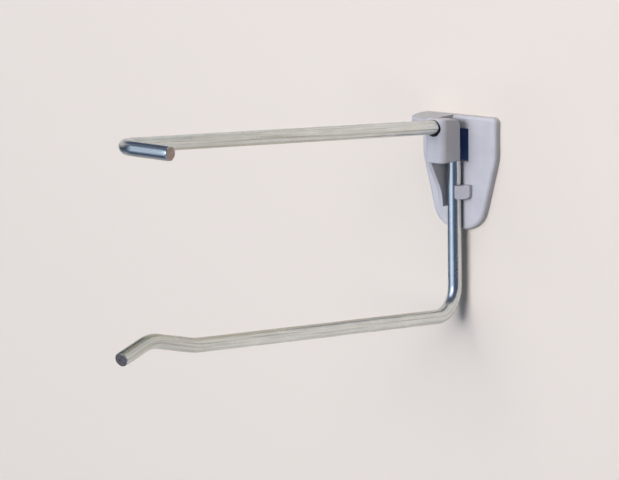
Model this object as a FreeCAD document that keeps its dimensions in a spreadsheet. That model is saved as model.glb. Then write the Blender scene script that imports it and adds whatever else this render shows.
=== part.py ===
import FreeCAD, Part
import math
import os

import Sketcher

# Pegboard display hook: one bent steel wire carried by a moulded plastic back.
# Frame: millimetres, +Z up, +Y into the board, +X to the right of someone facing the board.
# The origin is on the back's rear face, midway between its two pegs, on the pegs' axes.

SIZES = {
    # Wire, angles in degrees
    "wire_diameter": 5.15,
    "upper_bend_radius": 8.0,
    "stem_lean": 0.8,
    "upper_drop": 0.95,
    "upper_slope": 4.8,
    "upper_reach": 203.0,
    "leg_length": 23.2,
    "leg_bend_radius": 8.5,
    "leg_droop": 1.5,
    "arm_spacing": 69.35,
    "lower_bend_radius": 10.5,
    "lower_slope": 4.4,
    "dip_reach": 161.0,
    "dip_radius": 40.0,
    "rise_angle": 12.5,
    "hump_reach": 185.4,
    "hump_radius": 17.0,
    "fall_angle": 14.9,
    "tip_reach": 201.4,
    "end_chamfer": 0.15,
    # Plate of the back
    "plate_thickness": 3.4,
    "plate_width": 32.2,
    "plate_top": 2.65,
    "plate_height": 41.65,
    "shoulder_drop": 15.15,
    "foot_width": 18.4,
    "top_corner_radius": 2.0,
    "shoulder_radius": 15.0,
    "foot_radius": 9.5,
    "plate_edge_radius": 1.2,
    # Collar that the upper arm passes through, and its channel for the wire
    "wire_clearance": 0.1,
    "collar_wall": 1.6,
    "collar_front": 19.3,
    "collar_back": 8.2,
    "collar_drop": 13.0,
    "collar_corner_radius": 2.5,
    "collar_heel_radius": 3.7,
    "collar_edge_radius": 0.6,
    "bore_diameter": 6.05,
    "bore_drop": 0.35,
    "collar_roof": 0.45,
    # Rib that braces the collar from below, on the left of the wire
    "rib_front": 17.4,
    "rib_back": 9.5,
    "rib_foot": 30.1,
    "rib_knee": 25.5,
    "rib_radius": 15.0,
    # Rounded shelf that braces the collar at the top left
    "shelf_thickness": 3.2,
    "shelf_setback": 0.3,
    "shelf_radius": 13.5,
    "shelf_edge_radius": 0.6,
    # Window in the plate behind the collar
    "window_side": 3.9,
    "window_top": 2.0,
    "window_foot": 14.0,
    "window_edge_radius": 0.9,
    # Snap post on the right of the wire
    "post_top": 22.3,
    "post_height": 5.0,
    "post_width": 3.35,
    "post_step": 1.7,
    "post_lip": 0.65,
    "post_lip_start": 0.9,
    "post_nose": 0.7,
    "post_top_radius": 0.4,
    "post_foot_radius": 1.5,
    # Pegs
    "peg_pitch": 25.4,
    "peg_diameter": 4.8,
    "board_thickness": 6.35,
    "board_clearance": 0.3,
    "peg_bend_radius": 3.4,
    "peg_rise": 10.5,
    "peg_tip_radius": 1.6,
}

doc = FreeCAD.newDocument("PegboardHook")
sheet = doc.addObject("Spreadsheet::Sheet", "dim")
for row, (alias, size) in enumerate(SIZES.items(), start=1):
    sheet.set(f"A{row}", alias)
    sheet.set(f"B{row}", str(size))
    sheet.setAlias(f"B{row}", alias)
doc.recompute()


def value(expression):
    """The number that an expression on the sheet gives."""
    return float(sheet.evalExpression(expression))


def new_body(label):
    body = doc.addObject("PartDesign::Body", label)
    body.Label = label
    return body


def origin_plane(body, role):
    return next(f for f in body.Origin.OriginFeatures if f.Role == role)


def bind(obj, **expressions):
    """Bind properties, written with two underscores for each dot, to expressions on the sheet."""
    for name, expression in expressions.items():
        obj.setExpression(name.replace("__", "."), expression)


def plane_sketch(body, role, name, right="0", up="0", out="0"):
    """A sketch on an origin plane, moved right, up and out along the plane's own axes."""
    sketch = body.newObject("Sketcher::SketchObject", name)
    sketch.AttachmentSupport = (origin_plane(body, role), "")
    sketch.MapMode = "FlatFace"
    for axis, expression in zip("xyz", (right, up, out)):
        if expression != "0":
            sketch.setExpression(f"AttachmentOffset.Base.{axis}", expression)
    return sketch


def tilt_about_x(sketch, expression):
    base = sketch.AttachmentOffset.Base
    sketch.AttachmentOffset = FreeCAD.Placement(base, FreeCAD.Rotation(FreeCAD.Vector(1, 0, 0), 1))
    sketch.setExpression("AttachmentOffset.Rotation.Angle", expression)


def hold_point(sketch, geometry, end, corner, name):
    """Fix a point's two coordinates to a corner's expressions."""
    for kind, expression in zip(("DistanceX", "DistanceY"), corner):
        index = sketch.addConstraint(Sketcher.Constraint(kind, -1, 1, geometry, end, value(expression)))
        sketch.renameConstraint(index, f"{name}_{kind[-1].lower()}")
        sketch.setExpression(f"Constraints[{index}]", expression)


def rounded_path(sketch, corners, closed=False):
    """Straight runs between corners, joined by tangent arcs.

    A corner is (across, up) or (across, up, radius), as expressions. With a radius, it is the
    point where the two runs beside it would meet.
    """
    count = len(corners)
    points = [FreeCAD.Vector(value(c[0]), value(c[1]), 0) for c in corners]
    run_start = list(points)
    run_end = list(points)
    arcs = {}
    for i, corner in enumerate(corners):
        if len(corner) < 3:
            continue
        before = (points[i] - points[i - 1]).normalize()
        after = (points[(i + 1) % count] - points[i]).normalize()
        turn = math.atan2(before.cross(after).z, before.dot(after))
        radius = value(corner[2])
        tangent = radius * math.tan(abs(turn) / 2)
        side = math.copysign(1, turn)
        centre = points[i] - before * tangent + FreeCAD.Vector(-before.y, before.x, 0) * (side * radius)
        first = math.atan2(-before.x * side, before.y * side)
        start, stop = sorted((first, first + turn))
        circle = Part.Circle(centre, FreeCAD.Vector(0, 0, 1), radius)
        ends = (1, 2) if side > 0 else (2, 1)
        arcs[i] = sketch.addGeometry(Part.ArcOfCircle(circle, start, stop)), ends
        run_end[i] = points[i] - before * tangent
        run_start[i] = points[i] + after * tangent
    runs = {}
    for i in range(count if closed else count - 1):
        j = (i + 1) % count
        runs[i] = sketch.addGeometry(Part.LineSegment(run_start[i], run_end[j]))
    for i, corner in enumerate(corners):
        arriving = runs.get((i - 1) % count) if closed or i else None
        leaving = runs.get(i)
        if i in arcs:
            arc, (arc_in, arc_out) = arcs[i]
            sketch.addConstraint(Sketcher.Constraint("Tangent", arriving, 2, arc, arc_in))
            sketch.addConstraint(Sketcher.Constraint("Tangent", arc, arc_out, leaving, 1))
            index = sketch.addConstraint(Sketcher.Constraint("Radius", arc, value(corner[2])))
            sketch.renameConstraint(index, f"corner{i}_radius")
            sketch.setExpression(f"Constraints[{index}]", corner[2])
            mark = sketch.addGeometry(Part.Point(points[i]), True)
            sketch.addConstraint(Sketcher.Constraint("PointOnObject", mark, 1, arriving))
            sketch.addConstraint(Sketcher.Constraint("PointOnObject", mark, 1, leaving))
            hold_point(sketch, mark, 1, corner, f"corner{i}")
            continue
        if arriving is not None and leaving is not None:
            sketch.addConstraint(Sketcher.Constraint("Coincident", arriving, 2, leaving, 1))
        held, end = (leaving, 1) if leaving is not None else (arriving, 2)
        hold_point(sketch, held, end, corner, f"corner{i}")


def circle_profile(sketch, diameter):
    circle = Part.Circle(FreeCAD.Vector(0, 0, 0), FreeCAD.Vector(0, 0, 1), value(diameter) / 2)
    index = sketch.addGeometry(circle)
    sketch.addConstraint(Sketcher.Constraint("Coincident", index, 3, -1, 1))
    size = sketch.addConstraint(Sketcher.Constraint("Diameter", index, value(diameter)))
    sketch.setExpression(f"Constraints[{size}]", diameter)


def round_bar(body, name, path, diameter):
    """A round section swept along a path sketch, square to its first run."""
    doc.recompute()
    profile = body.newObject("Sketcher::SketchObject", f"{name}Section")
    profile.AttachmentSupport = (path, first_run(path))
    profile.MapMode = "NormalToEdge"
    circle_profile(profile, diameter)
    bar = body.newObject("PartDesign::AdditivePipe", name)
    bar.Profile = profile
    bar.Spine = path
    doc.recompute()
    return bar


def first_run(path):
    """The name of the edge that starts where the path's first run starts."""
    start = next(g for g in path.Geometry if isinstance(g, Part.LineSegment)).StartPoint
    world = path.Placement.multVec(start)
    ends = [edge.firstVertex(True).Point.distanceToPoint(world) for edge in path.Shape.Edges]
    return f"Edge{ends.index(min(ends)) + 1}"


def pad(body, name, sketch, length, side="One side"):
    feature = body.newObject("PartDesign::Pad", name)
    feature.Profile = sketch
    feature.SideType = side
    bind(feature, Length=length)
    doc.recompute()
    return feature


def pocket(body, name, sketch, length, side="One side", reverse=False):
    before = body.Shape.Volume
    feature = body.newObject("PartDesign::Pocket", name)
    feature.Profile = sketch
    feature.SideType = side
    feature.Reversed = reverse
    bind(feature, Length=length)
    doc.recompute()
    if feature.Shape.Volume >= before:
        raise RuntimeError(f"{name} removes nothing")
    return feature


def edges_where(shape, test):
    return [f"Edge{i}" for i, edge in enumerate(shape.Edges, start=1) if test(edge)]


def dress(body, kind, name, base, test, size):
    """A fillet or chamfer on the edges of the base feature that pass a test."""
    edges = edges_where(base.Shape, test)
    if not edges:
        raise RuntimeError(f"{name} finds no edge")
    feature = body.newObject(f"PartDesign::{kind}", name)
    feature.Base = (base, edges)
    feature.setExpression("Radius" if kind == "Fillet" else "Size", size)
    doc.recompute()
    return feature


def lies_in(edge, axis, place, reach=1e-4):
    """Whether an edge stays at one place along an axis."""
    box = edge.BoundBox
    low = getattr(box, f"{axis}Min")
    high = getattr(box, f"{axis}Max")
    return abs(low - place) < reach and abs(high - place) < reach


# Places that the pieces share
plate_foot = "(dim.plate_top - dim.plate_height)"
channel_half = "(dim.wire_diameter / 2 + dim.wire_clearance)"
collar_half = f"({channel_half} + dim.collar_wall)"
stem_foot = f"(-dim.plate_thickness - {channel_half})"


def stem_at(height):
    """Y of the stem's axis at a height: it leans forward from the plate's foot upwards."""
    return f"({stem_foot} - tan(dim.stem_lean) * ({height} - {plate_foot}))"


upper_height = "(-dim.upper_drop)"
upper_stem = stem_at(upper_height)


def upper_arm_at(y):
    """Height of the upper arm's axis at a place along Y."""
    return f"({upper_height} + tan(dim.upper_slope) * ({upper_stem} - ({y})))"


lower_height = "(-dim.upper_drop - dim.arm_spacing)"
lower_stem = stem_at(lower_height)

# Wire: upper arm with a side leg at its end, stem, and lower arm with a humped tip
wire = new_body("wire_hook")
leg_height = upper_arm_at("-dim.upper_reach")
leg_run = "(dim.leg_bend_radius + dim.wire_diameter)"
dip_height = f"({lower_height} + tan(dim.lower_slope) * ({lower_stem} + dim.dip_reach))"
hump_height = f"({dip_height} + tan(dim.rise_angle) * (dim.hump_reach - dim.dip_reach))"
tip_height = f"({hump_height} - tan(dim.fall_angle) * (dim.tip_reach - dim.hump_reach))"

arm_path = plane_sketch(wire, "YZ_Plane", "ArmPath")
rounded_path(arm_path, [
    (f"-dim.upper_reach + {leg_run} * cos(dim.upper_slope)",
     f"{leg_height} - {leg_run} * sin(dim.upper_slope)"),
    (upper_stem, upper_height, "dim.upper_bend_radius"),
    (lower_stem, lower_height, "dim.lower_bend_radius"),
    ("-dim.dip_reach", dip_height, "dim.dip_radius"),
    ("-dim.hump_reach", hump_height, "dim.hump_radius"),
    ("-dim.tip_reach", tip_height),
])
round_bar(wire, "Arms", arm_path, "dim.wire_diameter")

leg_path = plane_sketch(wire, "XY_Plane", "LegPath")
leg_corner = f"vector(0; -dim.upper_reach; {leg_height})"
arm_turn = "rotation(vector(1; 0; 0); -dim.upper_slope)"
leg_turn = "rotation(vector(0; 1; 0); dim.leg_droop)"
leg_path.setExpression("AttachmentOffset", f"placement({leg_corner}; {arm_turn} * {leg_turn})")
rounded_path(leg_path, [
    ("0", leg_run),
    ("0", "0", "dim.leg_bend_radius"),
    ("dim.leg_length", "0"),
])
leg = round_bar(wire, "Leg", leg_path, "dim.wire_diameter")

leg_end = leg_path.Placement.multVec(FreeCAD.Vector(value("dim.leg_length"), 0, 0))
tip_end = FreeCAD.Vector(0, value("-dim.tip_reach"), value(tip_height))


def is_wire_end(edge):
    centre = edge.BoundBox.Center
    near = min(centre.distanceToPoint(leg_end), centre.distanceToPoint(tip_end))
    return near < value("dim.wire_diameter") / 4


dress(wire, "Chamfer", "ShearedEnds", leg, is_wire_end, "dim.end_chamfer")

# Back: a plate with rounded front edges
back = new_body("back_plate")
half_width = "dim.plate_width / 2"
half_foot = "dim.foot_width / 2"
shoulder = "dim.plate_top - dim.shoulder_drop"
outline = plane_sketch(back, "XZ_Plane", "PlateOutline")
rounded_path(outline, [
    (f"-{half_width}", "dim.plate_top", "dim.top_corner_radius"),
    (f"-{half_width}", shoulder, "dim.shoulder_radius"),
    (f"-{half_foot}", plate_foot, "dim.foot_radius"),
    (half_foot, plate_foot, "dim.foot_radius"),
    (half_width, shoulder, "dim.shoulder_radius"),
    (half_width, "dim.plate_top", "dim.top_corner_radius"),
], closed=True)
plate = pad(back, "Plate", outline, "dim.plate_thickness")
plate_front = value("-dim.plate_thickness")


def is_plate_rim(edge):
    return lies_in(edge, "Y", plate_front)


dress(back, "Fillet", "PlateEdge", plate, is_plate_rim, "dim.plate_edge_radius")

window = plane_sketch(back, "XZ_Plane", "WindowOutline", out="dim.plate_thickness")
rounded_path(window, [
    (f"-{channel_half}", "-dim.window_top"),
    (f"-{channel_half}", "-dim.window_foot"),
    ("dim.window_side", "-dim.window_foot"),
    ("dim.window_side", "-dim.window_top"),
], closed=True)
window_cut = pocket(back, "Window", window, "dim.plate_thickness")


def is_window_lip(edge):
    return lies_in(edge, "Y", plate_front) and lies_in(edge, "X", value("dim.window_side"))


dress(back, "Fillet", "WindowLip", window_cut, is_window_lip, "dim.window_edge_radius")

# Collar, with a top that follows the upper arm
collar_top = "dim.bore_diameter / 2 - dim.bore_drop + dim.collar_roof"
collar_side = plane_sketch(back, "YZ_Plane", "CollarSide")
rounded_path(collar_side, [
    ("-dim.collar_front", "-dim.collar_drop"),
    ("-dim.collar_back", "-dim.collar_drop"),
    ("-dim.collar_back", f"{upper_arm_at('-dim.collar_back')} + {collar_top}", "dim.collar_heel_radius"),
    ("-dim.collar_front", f"{upper_arm_at('-dim.collar_front')} + {collar_top}"),
], closed=True)
collar = pad(back, "Collar", collar_side, f"2 * {collar_half}", side="Symmetric")
collar_front = value("-dim.collar_front")


def is_collar_corner(edge):
    upright = edge.BoundBox.ZLength > value("dim.collar_drop") / 2
    return upright and lies_in(edge, "Y", collar_front)


corners = dress(back, "Fillet", "CollarCorners", collar, is_collar_corner, "dim.collar_corner_radius")


def is_collar_rim(edge):
    """The edges round the collar's top and underside, in front of the heel."""
    box = edge.BoundBox
    ahead = box.YMax < value("-dim.collar_back") + 1e-4
    level = box.ZLength < value("dim.collar_drop") / 2
    outside = not lies_in(edge, "Y", value("-dim.collar_back"))
    return ahead and level and outside


dress(back, "Fillet", "CollarRim", corners, is_collar_rim, "dim.collar_edge_radius")

# Rib under the collar, flush with the collar's left side
root = "-dim.plate_thickness / 2"
shelf_foot = "(dim.plate_top - dim.shelf_thickness)"
rib_side = plane_sketch(back, "YZ_Plane", "RibSide", out=f"-{collar_half}")
rounded_path(rib_side, [
    ("-dim.rib_front", "-dim.collar_drop + dim.collar_edge_radius"),
    ("-dim.rib_back", "-dim.rib_knee", "dim.rib_radius"),
    ("-dim.rib_back", "-dim.rib_foot"),
    (root, "-dim.rib_foot"),
    (root, f"{shelf_foot} + dim.shelf_thickness / 2"),
    ("-dim.rib_front + dim.collar_corner_radius", f"{shelf_foot} + dim.shelf_thickness / 2"),
    ("-dim.rib_front + dim.collar_corner_radius", "-dim.collar_drop + dim.collar_edge_radius"),
], closed=True)
pad(back, "Rib", rib_side, "dim.collar_wall")

# Shelf between the plate's top left and the collar's front
shelf_plan = plane_sketch(back, "XY_Plane", "ShelfPlan", out=shelf_foot)
shelf_front = "-dim.collar_front + dim.shelf_setback"
rounded_path(shelf_plan, [
    (f"-{channel_half}", "0"),
    (f"-{half_width}", "0"),
    (f"-{half_width}", shelf_front, "dim.shelf_radius"),
    (f"-{channel_half}", shelf_front),
], closed=True)
shelf = pad(back, "Shelf", shelf_plan, "dim.shelf_thickness")


def is_shelf_rim(edge):
    """The edges round the shelf's free side, on its top and its underside."""
    box = edge.BoundBox
    outer = abs(box.XMin - value(f"-{half_width}")) < 1e-4
    level = box.ZLength < 1e-4 and box.ZMin > value(shelf_foot) - 1e-4
    return outer and level and box.YMin < value(f"{shelf_front} + dim.shelf_radius") + 1e-4


dress(back, "Fillet", "ShelfRim", shelf, is_shelf_rim, "dim.shelf_edge_radius")

# Channel for the stem and the upper bend, and the bore for the upper arm
bend_run = "dim.upper_bend_radius * tan((90 + dim.upper_slope - dim.stem_lean) / 2)"
channel_front = f"({upper_stem} - {channel_half})"
channel_end = f"({upper_stem} - {bend_run} * cos(dim.upper_slope) - dim.wire_clearance)"
channel_foot = "-dim.collar_drop - dim.wire_diameter"
channel_rise = f"{channel_half} / cos(dim.upper_slope)"
inner_bend = f"dim.upper_bend_radius - {channel_half}"
channel_side = plane_sketch(back, "YZ_Plane", "ChannelSide")
rounded_path(channel_side, [
    ("-dim.plate_thickness", channel_foot),
    (channel_front, channel_foot),
    (channel_front, f"{upper_arm_at(channel_front)} - {channel_rise}", inner_bend),
    (channel_end, f"{upper_arm_at(channel_end)} - {channel_rise}"),
    (channel_end, f"{upper_arm_at(channel_end)} + {channel_rise}"),
    ("-dim.plate_thickness", f"{upper_arm_at('-dim.plate_thickness')} + {channel_rise}"),
], closed=True)
pocket(back, "Channel", channel_side, f"2 * {channel_half}", side="Symmetric")

bore_height = f"{upper_height} - dim.bore_drop"
bore_mouth = plane_sketch(back, "XZ_Plane", "BoreMouth", up=bore_height, out=f"-{upper_stem}")
tilt_about_x(bore_mouth, "-dim.upper_slope")
circle_profile(bore_mouth, "dim.bore_diameter")
pocket(back, "Bore", bore_mouth, "2 * dim.collar_front", reverse=True)

# Snap post: the stem clips in behind its lip, over the sloped front
post_foot = "(-dim.post_top - dim.post_height)"
post_stem = stem_at(f"({post_foot} + dim.post_height / 2)")
post_side = f"{channel_half} + dim.post_width"
lip_side = f"{channel_half} - dim.post_lip"
lip_back = f"{post_stem} - {channel_half} + dim.post_nose / 2"
post_front = f"({post_stem} - {channel_half} - dim.post_nose / 2)"
post_face = plane_sketch(back, "XZ_Plane", "PostFace", out="dim.plate_thickness / 2")
rounded_path(post_face, [
    (lip_side, "-dim.post_top", "dim.post_top_radius"),
    (lip_side, post_foot, "dim.post_foot_radius"),
    (post_side, post_foot, "dim.post_foot_radius"),
    (post_side, "-dim.post_top", "dim.post_top_radius"),
], closed=True)
pad(back, "Post", post_face, f"-{post_front} - dim.plate_thickness / 2")

beside_stem = plane_sketch(back, "XY_Plane", "PostStemSide", out=post_foot)
rounded_path(beside_stem, [
    ("0", "-dim.plate_thickness"),
    (channel_half, "-dim.plate_thickness"),
    (channel_half, f"{post_stem} - dim.post_lip_start"),
    (lip_side, lip_back),
    ("0", lip_back),
], closed=True)
pocket(back, "PostSeat", beside_stem, "dim.post_height", reverse=True)

past_slope = plane_sketch(back, "XY_Plane", "PostSlope", out=post_foot)
rounded_path(past_slope, [
    ("0", lip_back),
    (lip_side, lip_back),
    (f"{lip_side} + dim.post_nose / 2", post_front),
    (post_side, "-dim.plate_thickness - dim.post_step"),
    (f"{post_side} + dim.post_width", "-dim.plate_thickness - dim.post_step"),
    (f"{post_side} + dim.post_width", f"{post_front} - dim.post_nose"),
    ("0", f"{post_front} - dim.post_nose"),
], closed=True)
pocket(back, "PostRamp", past_slope, "dim.post_height", reverse=True)

# Pegs: each turns up behind the board
peg_centre = "dim.board_thickness + dim.board_clearance + dim.peg_diameter / 2"
peg_path = plane_sketch(back, "YZ_Plane", "PegPath", out="dim.peg_pitch / 2")
rounded_path(peg_path, [
    (root, "0"),
    (peg_centre, "0", "dim.peg_bend_radius"),
    (peg_centre, "dim.peg_rise"),
])
peg = round_bar(back, "Peg", peg_path, "dim.peg_diameter")
pegs = back.newObject("PartDesign::Mirrored", "Pegs")
pegs.Originals = [peg]
pegs.MirrorPlane = (origin_plane(back, "YZ_Plane"), [""])
back.Tip = pegs
doc.recompute()


def is_peg_tip(edge):
    return lies_in(edge, "Z", value("dim.peg_rise"))


dress(back, "Fillet", "PegTips", pegs, is_peg_tip, "dim.peg_tip_radius")

# Every feature has to be sound before a file is written
failed = [o.Name for o in doc.Objects if {"Invalid", "Error"} & set(o.State)]
if failed:
    raise RuntimeError(f"failed features: {failed}")
os.makedirs("parts", exist_ok=True)
for body in (wire, back):
    shape = body.Shape
    if shape.isNull() or not shape.isValid() or len(shape.Solids) != 1:
        raise RuntimeError(f"{body.Label} is not one sound solid")
    shape.exportStep(f"parts/{body.Label}.step")
    print(body.Label, f"{shape.Volume:.1f} mm3", shape.BoundBox)
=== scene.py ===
import bpy
import numpy as np
from mathutils import Matrix, Vector


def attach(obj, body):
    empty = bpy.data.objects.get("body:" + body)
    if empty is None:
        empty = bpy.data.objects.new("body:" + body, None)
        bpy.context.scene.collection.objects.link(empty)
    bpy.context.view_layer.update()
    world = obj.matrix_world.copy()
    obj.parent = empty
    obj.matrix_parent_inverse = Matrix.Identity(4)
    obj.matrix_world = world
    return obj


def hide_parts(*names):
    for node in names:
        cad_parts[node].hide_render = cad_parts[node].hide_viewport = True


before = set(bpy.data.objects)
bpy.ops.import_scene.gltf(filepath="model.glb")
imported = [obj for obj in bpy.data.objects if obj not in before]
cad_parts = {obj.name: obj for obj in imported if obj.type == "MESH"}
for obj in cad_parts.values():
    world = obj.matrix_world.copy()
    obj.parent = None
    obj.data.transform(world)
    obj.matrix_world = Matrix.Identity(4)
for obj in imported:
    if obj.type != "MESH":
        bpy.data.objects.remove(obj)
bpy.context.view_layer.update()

# Moulded back: one shot of light grey plastic makes the shield plate, collar, shelf, rib, snap post
# and pegs. The mould is finely etched, so the faces are satin, and handled corners are rubbed smoother.


class Socket:
    """A shader socket. Arithmetic on it adds Math nodes, and node() adds any other kind of node."""

    def __init__(self, tree, socket=None):
        self.tree = tree
        self.socket = socket

    def node(self, kind, settings=None, inputs=None, output=0):
        """A node with its settings made first, then its inputs filled or linked; gives one output."""
        made = self.tree.nodes.new(kind)
        for name, setting in (settings or {}).items():
            setattr(made, name, setting)
        for name, given in (inputs or {}).items():
            if isinstance(given, Socket):
                self.tree.links.new(given.socket, made.inputs[name])
            else:
                made.inputs[name].default_value = given
        return Socket(self.tree, made.outputs[output])

    def maths(self, operation, first, second):
        """One Math node: first and second joined by the operation."""
        return self.node("ShaderNodeMath", {"operation": operation}, {0: first, 1: second})

    def __add__(self, other):
        return self.maths("ADD", self, other)

    def __radd__(self, other):
        return self.maths("ADD", other, self)

    def __sub__(self, other):
        return self.maths("SUBTRACT", self, other)

    def __rsub__(self, other):
        return self.maths("SUBTRACT", other, self)

    def __mul__(self, other):
        return self.maths("MULTIPLY", self, other)

    def __rmul__(self, other):
        return self.maths("MULTIPLY", other, self)

    def between(self, low, high):
        """0 below low, 1 above high, and a smooth step from one to the other."""
        return self.node(
            "ShaderNodeMapRange",
            {"interpolation_type": "SMOOTHSTEP"},
            {"Value": self, "From Min": low, "From Max": high},
        )

    def blend(self, first, second):
        """A colour that goes from first to second as this socket goes from 0 to 1."""
        return self.node(
            "ShaderNodeMix", {"data_type": "RGBA"}, {"Factor": self, 6: first, 7: second}, output=2
        )

    def dot(self, other):
        """The dot product of this vector and another one."""
        return self.node(
            "ShaderNodeVectorMath", {"operation": "DOT_PRODUCT"}, {0: self, 1: other}, "Value"
        )

    def part(self, axis):
        """This vector's X, Y or Z."""
        return self.node("ShaderNodeSeparateXYZ", None, {"Vector": self}, axis)

    def scaled(self, scale):
        """This vector with its X, Y and Z each multiplied by a number of its own."""
        return self.node("ShaderNodeMapping", None, {"Vector": self, "Scale": scale})

    def noise(self, scale, detail=2.0, roughness=0.5):
        """Noise on this vector, with the number of lumps in a metre as its scale."""
        return self.node(
            "ShaderNodeTexNoise", None,
            {"Vector": self, "Scale": scale, "Detail": detail, "Roughness": roughness},
        )


def finish(name, **constants):
    """A material with a Principled shader: gives the material, the shader and a socket to build on."""
    material = bpy.data.materials.new(name)
    material.use_nodes = True
    shader = material.node_tree.nodes["Principled BSDF"]
    for socket, given in constants.items():
        shader.inputs[socket.replace("_", " ")].default_value = given
    return material, shader, Socket(material.node_tree)


def feed(shader, socket, source):
    """Links a source to one of a shader's sockets."""
    source.tree.links.new(source.socket, shader.inputs[socket])


CORNER_EASE = 0.00035
ETCH_DEPTH = 0.00006
DARK_GREY = (0.478, 0.470, 0.476, 1.0)
LIGHT_GREY = (0.516, 0.508, 0.514, 1.0)
FLOW_GREY = (0.548, 0.540, 0.546, 1.0)
RUBBED_GREY = (0.596, 0.588, 0.592, 1.0)

etched_plastic, plastic_shader, start = finish("etched_grey_plastic", Metallic=0.0, IOR=1.5)
place = start.node("ShaderNodeTexCoord", output="Object")
etching = place.noise(3200.0, detail=3.0, roughness=0.6)
clouding = place.noise(140.0, detail=4.0, roughness=0.55)
flow = place.scaled((90.0, 90.0, 28.0)).noise(1.0, detail=3.0)
facing = start.node("ShaderNodeNewGeometry", output="Normal")
eased = start.node("ShaderNodeBevel", {"samples": 6}, {"Radius": CORNER_EASE})
rubbed = (1.0 - eased.dot(facing)).between(0.02, 0.22) * clouding.between(0.35, 0.6)
body_grey = clouding.between(0.3, 0.7).blend(DARK_GREY, LIGHT_GREY)
streaked_grey = (flow.between(0.52, 0.72) * 0.35).blend(body_grey, FLOW_GREY)
feed(plastic_shader, "Base Color", (rubbed * 0.45).blend(streaked_grey, RUBBED_GREY))
feed(plastic_shader, "Roughness", 0.40 + 0.16 * etching + 0.08 * clouding - 0.10 * rubbed)
plastic_relief = start.node("ShaderNodeBump", None, {
    "Strength": 0.22,
    "Distance": ETCH_DEPTH,
    "Height": etching * 0.7 + clouding * 0.3,
    "Normal": eased,
})
feed(plastic_shader, "Normal", plastic_relief)

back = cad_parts["back_plate"]
back.data.materials[0] = etched_plastic

# Wire hook: one length of cold-drawn steel wire, bent on pins and then bright zinc plated. It runs
# from the side leg through the collar, down the stem behind the post's lip and out along the lower
# arm to its tip. The two sheared ends are bare steel.

WIRE_RADIUS = 0.002575
END_CHAMFER = 0.00015
PINCH_DEPTH = 0.05
PINCH_LENGTH = 0.0010
FACE_RADIUS = WIRE_RADIUS * (1 - PINCH_DEPTH) - END_CHAMFER
FACE_RINGS = np.array([0.0, 0.3, 0.6, 0.85, 1.0])
LEG_CORNER = 1
# The corners of the wire's line in millimetres, from the leg's cut end to the lower arm's tip.
WIRE_CORNERS = np.array([
    [23.1920, -203.0508, 14.9364],
    [0.0, -203.0, 15.5416],
    [0.0, -6.6063, -0.95],
    [0.0, -5.6379, -70.30],
    [0.0, -161.0, -58.3452],
    [0.0, -185.4, -52.9362],
    [0.0, -201.4, -57.1934],
]) / 1000
BEND_RADII = np.array([8.5, 8.0, 10.5, 40.0, 17.0]) / 1000
RING_SPACING = 0.0006
RING_TURN = np.radians(2.5)
AROUND = 64


def unit(vectors):
    """Each vector divided by its own length."""
    return vectors / np.linalg.norm(vectors, axis=-1, keepdims=True)


def bent_line(corners, radii, run_step, turn_step):
    """Straight runs joined by arcs.

    At a corner that turns by an angle, the arc leaves the first run radius x tan(angle / 2) before
    the corner. A point on it is that start plus radius x sin(part) along the run and
    radius x (1 - cos(part)) towards the inside of the bend. Gives points, tangents and each point's
    corner number.
    """
    before = unit(corners[1:-1] - corners[:-2])
    after = unit(corners[2:] - corners[1:-1])
    turn = np.arccos(np.sum(before * after, axis=1))
    inward = unit(after - before * np.cos(turn)[:, None])
    setback = radii * np.tan(turn / 2)
    arc_start = corners[1:-1] - before * setback[:, None]
    arc_end = corners[1:-1] + after * setback[:, None]
    points, tangents, owners = [], [], []
    run_from = corners[0]
    for bend in range(len(radii)):
        length = np.linalg.norm(arc_start[bend] - run_from)
        part = np.linspace(0, 1, int(np.ceil(length / run_step)), endpoint=False)[:, None]
        points.append(run_from + (arc_start[bend] - run_from) * part)
        tangents.append(np.broadcast_to(before[bend], points[-1].shape))
        angle = np.linspace(0, turn[bend], int(np.ceil(turn[bend] / turn_step)) + 1)[:-1, None]
        along = np.sin(angle) * radii[bend]
        aside = (1 - np.cos(angle)) * radii[bend]
        points.append(arc_start[bend] + before[bend] * along + inward[bend] * aside)
        tangents.append(before[bend] * np.cos(angle) + inward[bend] * np.sin(angle))
        owners.append(np.full(len(points[-2]) + len(points[-1]), bend + 1))
        run_from = arc_end[bend]
    last = corners[-1] - run_from
    part = np.linspace(0, 1, int(np.ceil(np.linalg.norm(last) / run_step)) + 1)[:, None]
    points.append(run_from + last * part)
    tangents.append(np.broadcast_to(after[-1], points[-1].shape))
    owners.append(np.full(len(part), len(radii) + 1))
    return np.vstack(points), np.vstack(tangents), np.concatenate(owners)


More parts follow.
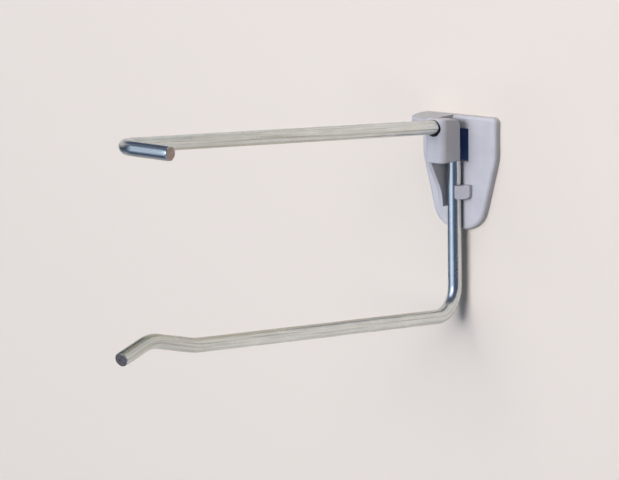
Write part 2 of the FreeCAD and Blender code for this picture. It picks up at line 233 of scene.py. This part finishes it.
def wire_surface(points, tangents, sideways):
    """A round section carried along the line, with chamfered, closed ends.

    A point is the line's point plus the ring's radius x (cos(angle) x side + sin(angle) x up), where
    up is square to the line and to sideways. The radius shrinks by the pinch depth x
    exp(-(distance / pinch length)^2) towards the shears' cuts, and the end rings step in from there to
    the centre. Gives the rings, the same rings on a straightened wire, and 1 for each ring on a cut.
    """
    side = unit(sideways - tangents * np.sum(sideways * tangents, axis=1, keepdims=True))
    up = np.cross(tangents, side)
    travel = np.concatenate([[0], np.cumsum(np.linalg.norm(np.diff(points, axis=0), axis=1))])
    to_end = np.minimum(travel, travel[-1] - travel)
    pinched = WIRE_RADIUS * (1 - PINCH_DEPTH * np.exp(-((to_end / PINCH_LENGTH) ** 2)))
    face_radii = FACE_RINGS * FACE_RADIUS
    radii = np.concatenate([face_radii, pinched, face_radii[::-1]])
    face = len(FACE_RINGS)
    rows = np.pad(np.arange(len(points)), face, mode="edge")
    inset = np.zeros(len(rows))
    inset[face] = END_CHAMFER
    inset[-face - 1] = -END_CHAMFER
    centre = points[rows] + tangents[rows] * inset[:, None]
    angle = np.linspace(0, 2 * np.pi, AROUND, endpoint=False)
    cosine = np.cos(angle)[None, :, None]
    sine = np.sin(angle)[None, :, None]
    ring = radii[:, None, None]
    spoke = cosine * side[rows][:, None] + sine * up[rows][:, None]
    grid = centre[:, None] + ring * spoke
    distance = np.broadcast_to(travel[rows][:, None, None], grid.shape[:2] + (1,))
    straight = np.concatenate([cosine * ring, sine * ring, distance], axis=-1)
    cut = np.zeros(len(rows))
    cut[:face] = 1
    cut[-face:] = 1
    return grid, straight, cut


def closed_tube(name, grid, straight, cut):
    """Quads between neighbouring rings, with the first and the last ring drawn to one point each."""
    rings, around = grid.shape[:2]
    body = np.arange((rings - 2) * around).reshape(rings - 2, around) + 1
    right = np.roll(body, -1, axis=1)
    quads = np.stack([body[:-1], right[:-1], right[1:], body[1:]], axis=-1).reshape(-1, 4)
    end = (rings - 2) * around + 1
    fans = np.vstack([
        np.stack([np.zeros(around, int), right[0], body[0]], axis=-1),
        np.stack([np.full(around, end), body[-1], right[-1]], axis=-1),
    ])

    def flat(values):
        """One row for each vertex: the first point, the whole rings, the last point."""
        whole = values[1:-1].reshape(-1, values.shape[-1])
        return np.concatenate([values[0, :1], whole, values[-1, :1]])

    mesh = bpy.data.meshes.new(name)
    mesh.from_pydata(flat(grid), [], quads.tolist() + fans.tolist())
    straightened = mesh.attributes.new("straightened", "FLOAT_VECTOR", "POINT")
    straightened.data.foreach_set("vector", flat(straight).astype(np.float32).ravel())
    cut_end = mesh.attributes.new("cut_end", "FLOAT", "POINT")
    shared = np.broadcast_to(cut[:, None, None], grid.shape[:2] + (1,))
    cut_end.data.foreach_set("value", flat(shared).astype(np.float32).ravel())
    mesh.polygons.foreach_set("use_smooth", np.ones(len(mesh.polygons), bool))
    mesh.update()
    made = bpy.data.objects.new(name, mesh)
    bpy.context.scene.collection.objects.link(made)
    return made


line, heading, corner_of = bent_line(WIRE_CORNERS, BEND_RADII, RING_SPACING, RING_TURN)
across = np.array([1.0, 0.0, 0.0])
leg_up = unit(np.cross(WIRE_CORNERS[0] - WIRE_CORNERS[1], WIRE_CORNERS[2] - WIRE_CORNERS[1]))
on_leg = corner_of[:, None] == LEG_CORNER
sideways = np.where(on_leg, np.cross(heading, leg_up), across)
wire = closed_tube("bent_wire", *wire_surface(line, heading, sideways))

DRAW_DEPTH = 0.00005
PALE_ZINC = (0.750, 0.772, 0.755, 1.0)
BRIGHT_ZINC = (0.811, 0.832, 0.818, 1.0)
# Painted dimmer zinc for the far ends, standing in for a weaker reflection of the panel.
PAINTED_DIM_ZINC = (0.620, 0.640, 0.605, 1.0)
LINE_SHADE = (0.440, 0.435, 0.395, 1.0)
STREAK_SHADE = (0.420, 0.412, 0.345, 1.0)
# Painted reflection colour: darker, yellower zinc where the facing arm shows in the wire.
PAINTED_REFLECTION_OLIVE = (0.450, 0.425, 0.325, 1.0)
DARK_STEEL = (0.330, 0.270, 0.234, 1.0)
LIGHT_STEEL = (0.590, 0.502, 0.450, 1.0)

zinc_plate, zinc_shader, start = finish("bright_zinc_plate", Metallic=1.0)
drawn = start.node("ShaderNodeAttribute", {"attribute_name": "straightened"}, output="Vector")
bare = start.node("ShaderNodeAttribute", {"attribute_name": "cut_end"}, output="Fac").between(0.4, 0.9)
die_lines = drawn.scaled((1.0, 1.0, 0.012)).noise(2600.0, detail=4.0, roughness=0.6)
broad_lines = drawn.scaled((1.0, 1.0, 0.006)).noise(900.0, detail=3.0, roughness=0.55)
bloom = drawn.noise(95.0, detail=4.0, roughness=0.6)
crystals = drawn.noise(2400.0)
sheared = drawn.noise(1500.0, detail=3.0, roughness=0.6)
travelled = drawn.part("Z")
inner_side = drawn.part("Y").between(0.0011, 0.0022)
on_stem = travelled.between(0.195, 0.225) - travelled.between(0.280, 0.310)
# Painted reflection: the zinc is painted duller on the leg and towards the arms' far ends, away from the
# panel, where less of the pale panel shows in the wire.
far_end_painted_dimming = 1.0 - travelled.between(0.03, 0.19) + travelled.between(0.40, 0.49)
fresh_colour = bloom.between(0.30, 0.72).blend(PALE_ZINC, BRIGHT_ZINC)
end_dimmed_colour = (far_end_painted_dimming * 0.42).blend(fresh_colour, PAINTED_DIM_ZINC)
lined_colour = (die_lines.between(0.46, 0.66) * 0.60).blend(end_dimmed_colour, LINE_SHADE)
streaked_colour = (broad_lines.between(0.50, 0.66) * 0.42).blend(lined_colour, STREAK_SHADE)
# Painted reflection: the inner faces between the arms, except on the stem, are painted darker and
# yellower in streaks. This stands in for the facing arm seen in the wire.
painted_facing_reflection = inner_side * (1.0 - on_stem) * broad_lines.between(0.25, 0.55)
reflection_painted_colour = (painted_facing_reflection * 0.72).blend(streaked_colour, PAINTED_REFLECTION_OLIVE)
steel_colour = sheared.between(0.3, 0.7).blend(DARK_STEEL, LIGHT_STEEL)
feed(zinc_shader, "Base Color", bare.blend(reflection_painted_colour, steel_colour))
plated_gloss = 0.15 + 0.10 * die_lines + 0.07 * bloom + 0.05 * crystals
feed(zinc_shader, "Roughness", plated_gloss + bare * 0.24)
wire_height = die_lines * 0.30 + broad_lines * 0.50 + crystals * 0.04 + bare * sheared * 1.5
wire_relief = start.node(
    "ShaderNodeBump", None, {"Strength": 0.11, "Distance": DRAW_DEPTH, "Height": wire_height}
)
feed(zinc_shader, "Normal", wire_relief)
wire.data.materials.append(zinc_plate)
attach(wire, "root")
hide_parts("wire_hook")

# Setting: a plain pale floor and a pale upright panel close behind the plate, both of matt painted
# board. Each is painted on one side and clear from the other, so that the part can be seen from behind
# and below. A small dark blue sheet on the panel is painted shade. It stands in for the unlit space
# behind the plate's window.

FLOOR_LEVEL = -0.75
FLOOR_HALF = 3.0
PANEL_AT = -0.0002
PAINTED_SHADE_AT = -0.0003
NO_GLOW = (0.0, 0.0, 0.0, 1.0)


def flat_board(name, corners, material):
    """A flat four-cornered sheet: its four corners joined in order."""
    mesh = bpy.data.meshes.new(name)
    mesh.from_pydata(corners, [], [(0, 1, 2, 3)])
    mesh.materials.append(material)
    made = bpy.data.objects.new(name, mesh)
    bpy.context.scene.collection.objects.link(made)
    return made


def upright(at, left, right, foot, top):
    """The four corners of an upright sheet that faces the front, from its lower left corner round."""
    return [(left, at, foot), (right, at, foot), (right, at, top), (left, at, top)]


def one_sided(name, colour, glow):
    """A matt paint on the front of a sheet, which is clear when seen from behind."""
    material, shader, tree = finish(
        name, Base_Color=colour, Metallic=0.0, Roughness=0.9, Specular_IOR_Level=0.1,
        Emission_Color=glow, Emission_Strength=1.0,
    )
    behind = tree.node("ShaderNodeNewGeometry", output="Backfacing")
    clear = tree.node("ShaderNodeBsdfTransparent")
    painted = Socket(material.node_tree, shader.outputs[0])
    both = tree.node("ShaderNodeMixShader", None, {"Fac": behind, 1: painted, 2: clear})
    feed(material.node_tree.nodes["Material Output"], "Surface", both)
    return material


floor = flat_board(
    "floor",
    [
        (-FLOOR_HALF, -FLOOR_HALF, FLOOR_LEVEL),
        (FLOOR_HALF, -FLOOR_HALF, FLOOR_LEVEL),
        (FLOOR_HALF, FLOOR_HALF, FLOOR_LEVEL),
        (-FLOOR_HALF, FLOOR_HALF, FLOOR_LEVEL),
    ],
    one_sided("pale_floor_paint", colour=(0.20, 0.19, 0.18, 1.0), glow=(0.60, 0.58, 0.565, 1.0)),
)
floor.visible_glossy = False
floor.visible_diffuse = False
flat_board(
    "panel",
    upright(PANEL_AT, left=-0.6, right=0.45, foot=-0.4, top=0.11),
    one_sided("pale_matt_paint", colour=(0.665, 0.610, 0.536, 1.0), glow=NO_GLOW),
)
# A dark sheet of painted shade behind the plate's window, where the space is unlit.
flat_board(
    "painted_shade_sheet",
    upright(PAINTED_SHADE_AT, left=-0.006, right=0.008, foot=-0.017, top=-0.001),
    one_sided("painted_shade_behind_window", colour=(0.20, 0.32, 0.66, 1.0), glow=NO_GLOW),
)

# Light: soft boxes, which are lamps behind stretched white cloth, in front, overhead and behind, each
# turned to the hook. The wire mirrors the room, which is dim, with a tall window on the left, and a pale
# floor and ceiling by the panel. Only the glint box shows in the wire.

DIFFUSE_SHARE = 0.6
DIM_ROOM = (0.118, 0.148, 0.225, 1.0)
WINDOW_LIGHT = (0.90, 1.06, 1.36, 1.0)
BRIGHT_PANE = (2.40, 2.46, 2.56, 1.0)
FLOOR_LIGHT = (0.52, 0.58, 0.72, 1.0)
CEILING_LIGHT = (0.72, 0.72, 0.73, 1.0)
PALE_DISTANCE = (0.80, 0.78, 0.77, 1.0)


def soft_box(name, position, target, width, height, power, colour, in_wire=False):
    """A flat rectangular lamp at a position, turned so that it faces a target."""
    lamp = bpy.data.lights.new(name, "AREA")
    lamp.shape = "RECTANGLE"
    lamp.size = width
    lamp.size_y = height
    lamp.energy = power
    lamp.color = colour
    made = bpy.data.objects.new(name, lamp)
    bpy.context.scene.collection.objects.link(made)
    aim = (Vector(target) - Vector(position)).to_track_quat("-Z", "Y")
    made.matrix_world = Matrix.Translation(position) @ aim.to_matrix().to_4x4()
    made.visible_glossy = in_wire


soft_box(
    "key_box", (0.13, -2.07, 0.34), (0.0, 0.0, -0.03),
    width=0.90, height=0.7, power=42.0, colour=(0.965, 0.963, 1.03),
)
soft_box(
    "top_box", (0.0, -0.35, 1.5), (0.0, -0.1, 0.0),
    width=0.8, height=0.6, power=8.0, colour=(1.0, 0.98, 0.96),
)
soft_box(
    "glint_box", (0.07, -2.05, 0.33), (0.0, 0.0, -0.05),
    width=0.45, height=0.45, power=2.2, colour=(0.95, 0.98, 1.05), in_wire=True,
)
soft_box(
    "rear_box", (-0.7, 1.9, 0.8), (0.0, 0.0, -0.03),
    width=1.2, height=1.0, power=40.0, colour=(0.97, 0.98, 1.03),
)

world = bpy.data.worlds.new("room")
world.use_nodes = True
bpy.context.scene.world = world
room = Socket(world.node_tree)
seen = room.node("ShaderNodeLightPath", output="Is Camera Ray")
mirrored = room.node("ShaderNodeLightPath", output="Is Glossy Ray")
way = room.node("ShaderNodeTexCoord", output="Generated")
to_right = way.part("X")
depth = way.part("Y")
height = way.part("Z")
beside_window = way.dot((0.951, -0.309, 0.0))
beside_core = way.dot((0.970, -0.242, 0.0))
above_sill = height.between(-0.52, -0.22)
storey = (1.0 - (height * height).between(0.28, 0.55)) * above_sill
window_wall = (1.0 - (beside_window * beside_window).between(0.02, 0.46)) * storey
upper_pane = height.between(-0.12, 0.25) * storey
window_core = (1.0 - (beside_core * beside_core).between(0.003, 0.020)) * upper_pane
far_room = window_wall.blend(DIM_ROOM, WINDOW_LIGHT)
daylit = window_core.blend(far_room, BRIGHT_PANE)
along_panel = depth.between(-0.30, -0.05)
from_floor = (0.0 - height).between(0.35, 0.60) * (along_panel + to_right.between(-0.35, -0.10))
dim_corner = way.dot((-0.586, 0.250, 0.771)).between(0.885, 0.945)
from_ceiling = along_panel * height.between(-0.08, 0.15) * (1.0 - dim_corner)
lower_room = from_floor.blend(daylit, FLOOR_LIGHT)
whole_room = from_ceiling.blend(lower_room, CEILING_LIGHT)
background = world.node_tree.nodes["Background"]
feed(background, "Color", seen.blend(whole_room, PALE_DISTANCE))
feed(background, "Strength", DIFFUSE_SHARE + (1.0 - DIFFUSE_SHARE) * (seen + mirrored))

# Camera: a long lens on a stand, to the right of the panel and a little above it, level but for a
# slight roll. The plain display curve is lifted a little, so that pale greys stay pale.

camera = bpy.data.objects.new("camera", bpy.data.cameras.new("camera"))
bpy.context.scene.collection.objects.link(camera)
camera.data.sensor_width = 36.0
camera.data.lens = 337.474
stand = Vector((1.18950, -1.70606, 0.29698))
sight = Vector((-0.58604928, 0.79402217, -0.16147768))
roll = np.radians(-0.2943)
camera.matrix_world = (
    Matrix.Translation(stand)
    @ sight.to_track_quat("-Z", "Y").to_matrix().to_4x4()
    @ Matrix.Rotation(roll, 4, "Z")
)
bpy.context.scene.camera = camera
bpy.context.scene.view_settings.view_transform = "Standard"
bpy.context.scene.view_settings.gamma = 0.84
